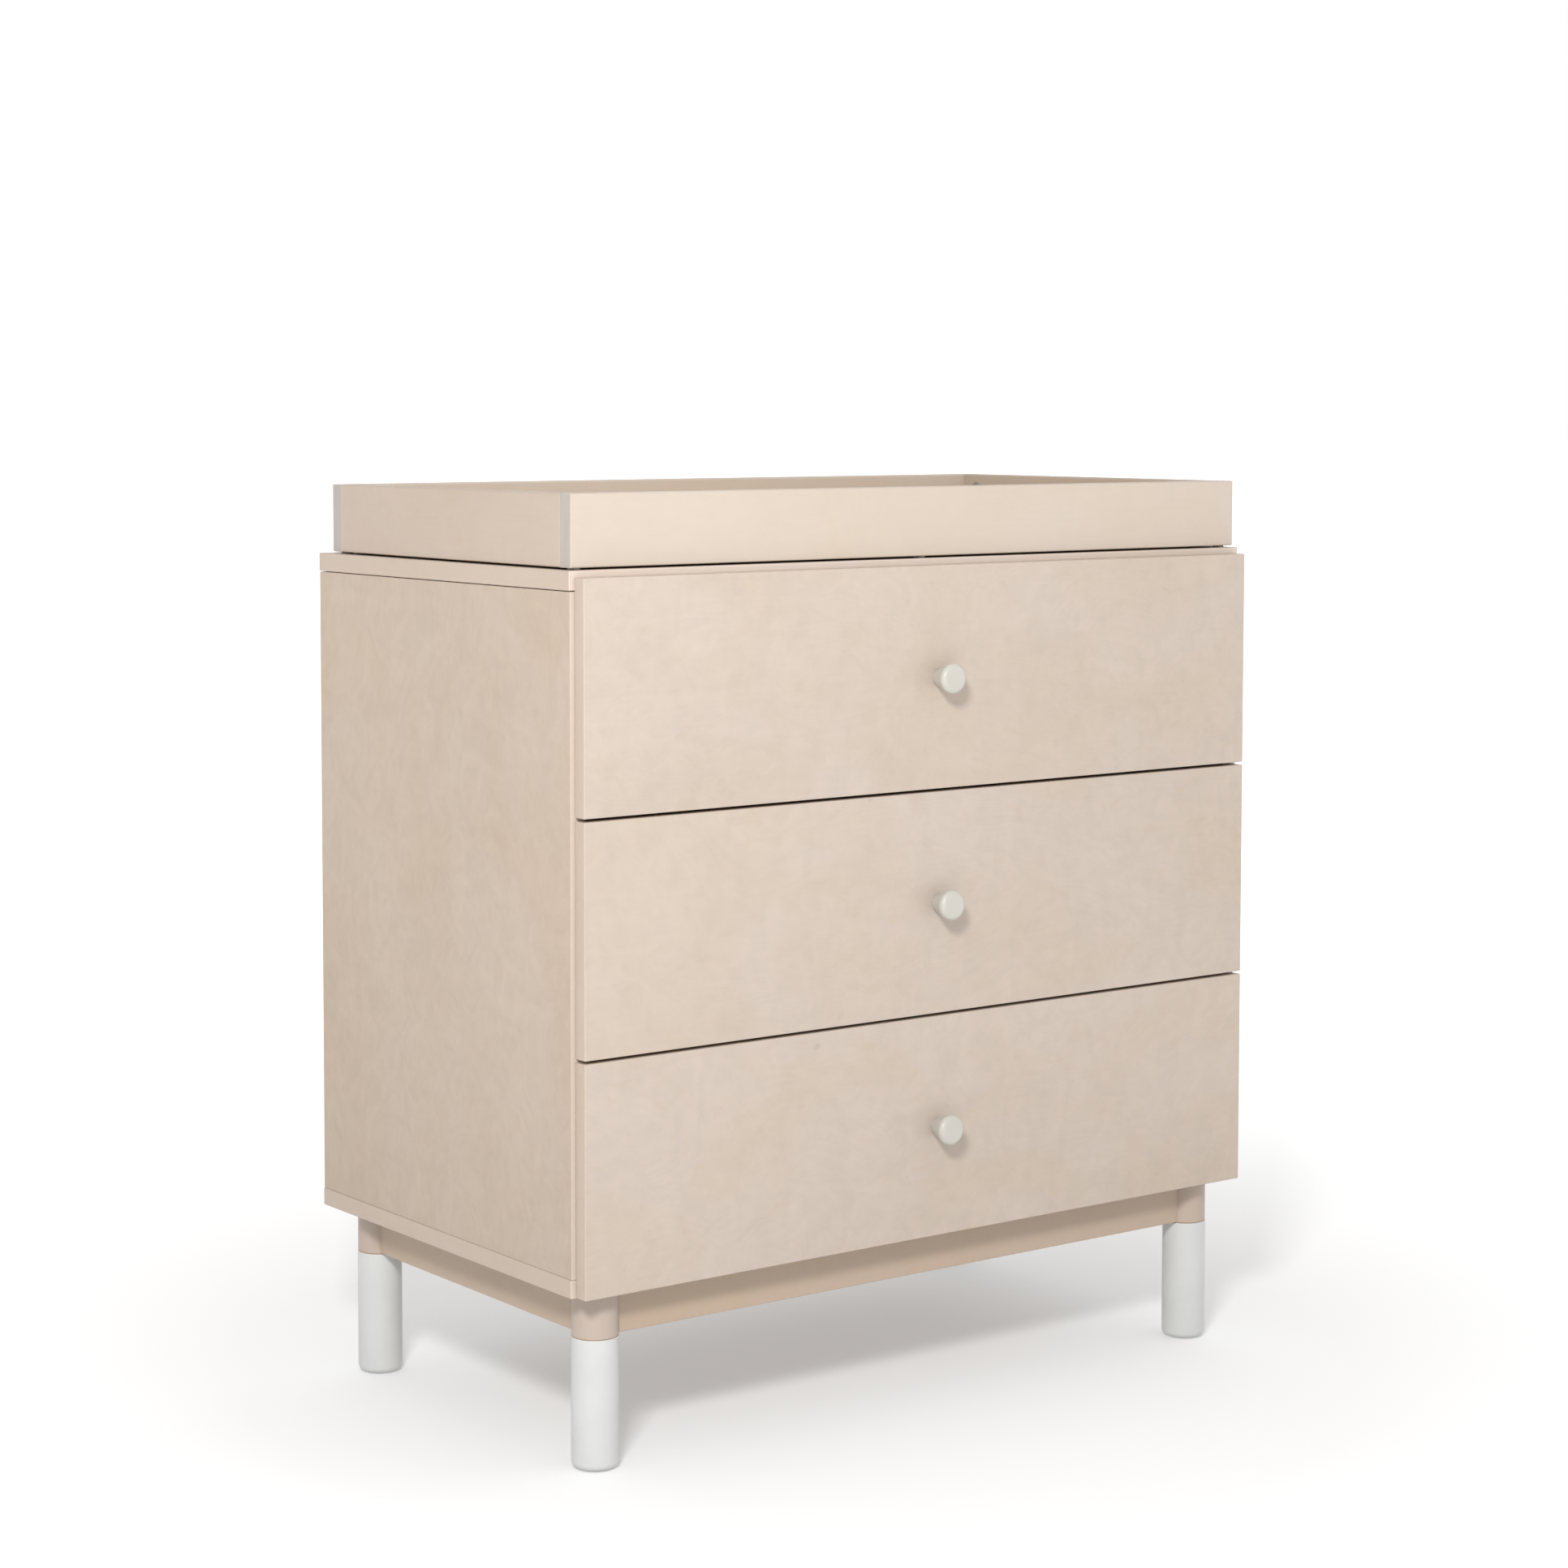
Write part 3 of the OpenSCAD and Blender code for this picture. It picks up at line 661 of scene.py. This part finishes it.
def build_tray_base():
    """Floor of the tray: a thin tongue in the boards' grooves, under a slightly smaller field."""
    low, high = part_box("tray_base_panel")
    left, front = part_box("tray_left_board")[1].x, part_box("tray_front_board")[1].y
    right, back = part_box("tray_right_board")[0].x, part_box("tray_back_board")[0].y
    field_low = (left + TRAY_FIELD_GAP, front + TRAY_FIELD_GAP, low.z + 1 * MM)
    field_high = (right - TRAY_FIELD_GAP, back - TRAY_FIELD_GAP, high.z)
    work = bmesh.new()
    add_block(work, low, (high.x, high.y, low.z + TRAY_TONGUE))
    add_block(work, field_low, field_high)
    piece = add_piece("tray_base_panel_finish", work, "tray", ["tray_base_panel"])
    dress(piece, low, high, X, "ply")
    smooth(piece)


# ---- Frame nodes that stay ----

SLOT_LOOKS = {"maple_veneer": VENEER_KINDS["panel"][X], "back_board": BACK, "birch_plywood": PLY[X],
              "zinc_steel": STEEL, "cam_zinc": CAST, "felt": FELT, "glide_plastic": NYLON,
              "white_paint": FOOT_PAINT_WITH_PAINTED_LIGHT}


def finish_frame_nodes():
    """Gives each CAD node that still shows its material."""
    slots = {part["node"]: part["material_slot"] for part in frame["record"]["subparts"]}
    for name, node in nodes.items():
        if node.hide_render:
            continue
        node.data.materials.clear()
        node.data.materials.append(SLOT_LOOKS[slots[name]])


# ---- Studio ----

FLOOR_SIZE = 60
FLOOR_GREY = (0.62, 0.62, 0.62, 1)
# Distances from the object between which the floor's glow grows, and the glow at each
GLOW_NEAR, GLOW_FAR = 0.6, 2.4
GLOW_LOW, GLOW_HIGH = 0.26, 0.85


def add_floor():
    """Pale paper floor that glows more with distance, so that it runs into the white room."""
    work = bmesh.new()
    bmesh.ops.create_grid(work, x_segments=1, y_segments=1, size=FLOOR_SIZE)
    mesh = bpy.data.meshes.new("floor")
    work.to_mesh(mesh)
    work.free()
    floor = bpy.data.objects.new("floor", mesh)
    scene.collection.objects.link(floor)
    graph = Graph("floor_paper", Base_Color=FLOOR_GREY, Roughness=0.9, Specular_IOR_Level=0.1,
                  Emission_Strength=1.0)
    place = graph.node("TexCoord").outputs["Object"]
    away = graph.node("VectorMath", {0: place}, operation="LENGTH").outputs["Value"]
    graph.link(graph.span(away, GLOW_NEAR, GLOW_FAR, GLOW_LOW, GLOW_HIGH), "Emission Color")
    floor.data.materials.append(graph.material)


LIGHT_AIM = (0, 0, 0.55)


def add_light(name, azimuth, elevation, distance, size, power):
    """Square soft light aimed just above the object's middle; azimuth 0 is in front, 90 to the right."""
    light = bpy.data.objects.new(name, bpy.data.lights.new(name, "AREA"))
    scene.collection.objects.link(light)
    a, e = math.radians(azimuth), math.radians(elevation)
    away = Vector((math.sin(a) * math.cos(e), -math.cos(a) * math.cos(e), math.sin(e)))
    light.location = Vector(LIGHT_AIM) + away * distance
    light.rotation_euler = away.to_track_quat("Z", "Y").to_euler()
    light.data.size, light.data.energy = size, power


# Strength of the white room on its bright and its dim side, the direction of the bright side, and
# how near a wall's direction comes to it where the dim and the bright strength are reached
BRIGHT_WALL = 1.0
DIM_WALL = 0.55
BRIGHT_SIDE = (0.93, 0.35, 0.1)
DIM_NEARNESS, BRIGHT_NEARNESS = -0.6, 0.45


def add_room():
    """White surroundings that grow dimmer towards the object's left."""
    world = bpy.data.worlds.new("studio")
    scene.world = world
    world.use_nodes = True
    tree = world.node_tree
    direction = tree.nodes.new("ShaderNodeTexCoord")
    nearness = tree.nodes.new("ShaderNodeVectorMath")
    nearness.operation = "DOT_PRODUCT"
    nearness.inputs[1].default_value = BRIGHT_SIDE
    strength = tree.nodes.new("ShaderNodeMapRange")
    for socket, value in ((1, DIM_NEARNESS), (2, BRIGHT_NEARNESS), (3, DIM_WALL), (4, BRIGHT_WALL)):
        strength.inputs[socket].default_value = value
    tree.links.new(direction.outputs["Generated"], nearness.inputs[0])
    tree.links.new(nearness.outputs["Value"], strength.inputs[0])
    tree.links.new(strength.outputs[0], tree.nodes["Background"].inputs["Strength"])
    tree.nodes["Background"].inputs["Color"].default_value = (1, 1, 1, 1)


def add_studio():
    add_floor()
    add_room()
    add_light("key", -45, 27, 3.6, 0.55, 97)
    scene.view_settings.view_transform = "Standard"


add_camera()
build_carcass()
build_base()
for drawer_level in LEVELS:
    build_drawer(drawer_level)
build_tray()
finish_frame_nodes()
add_studio()
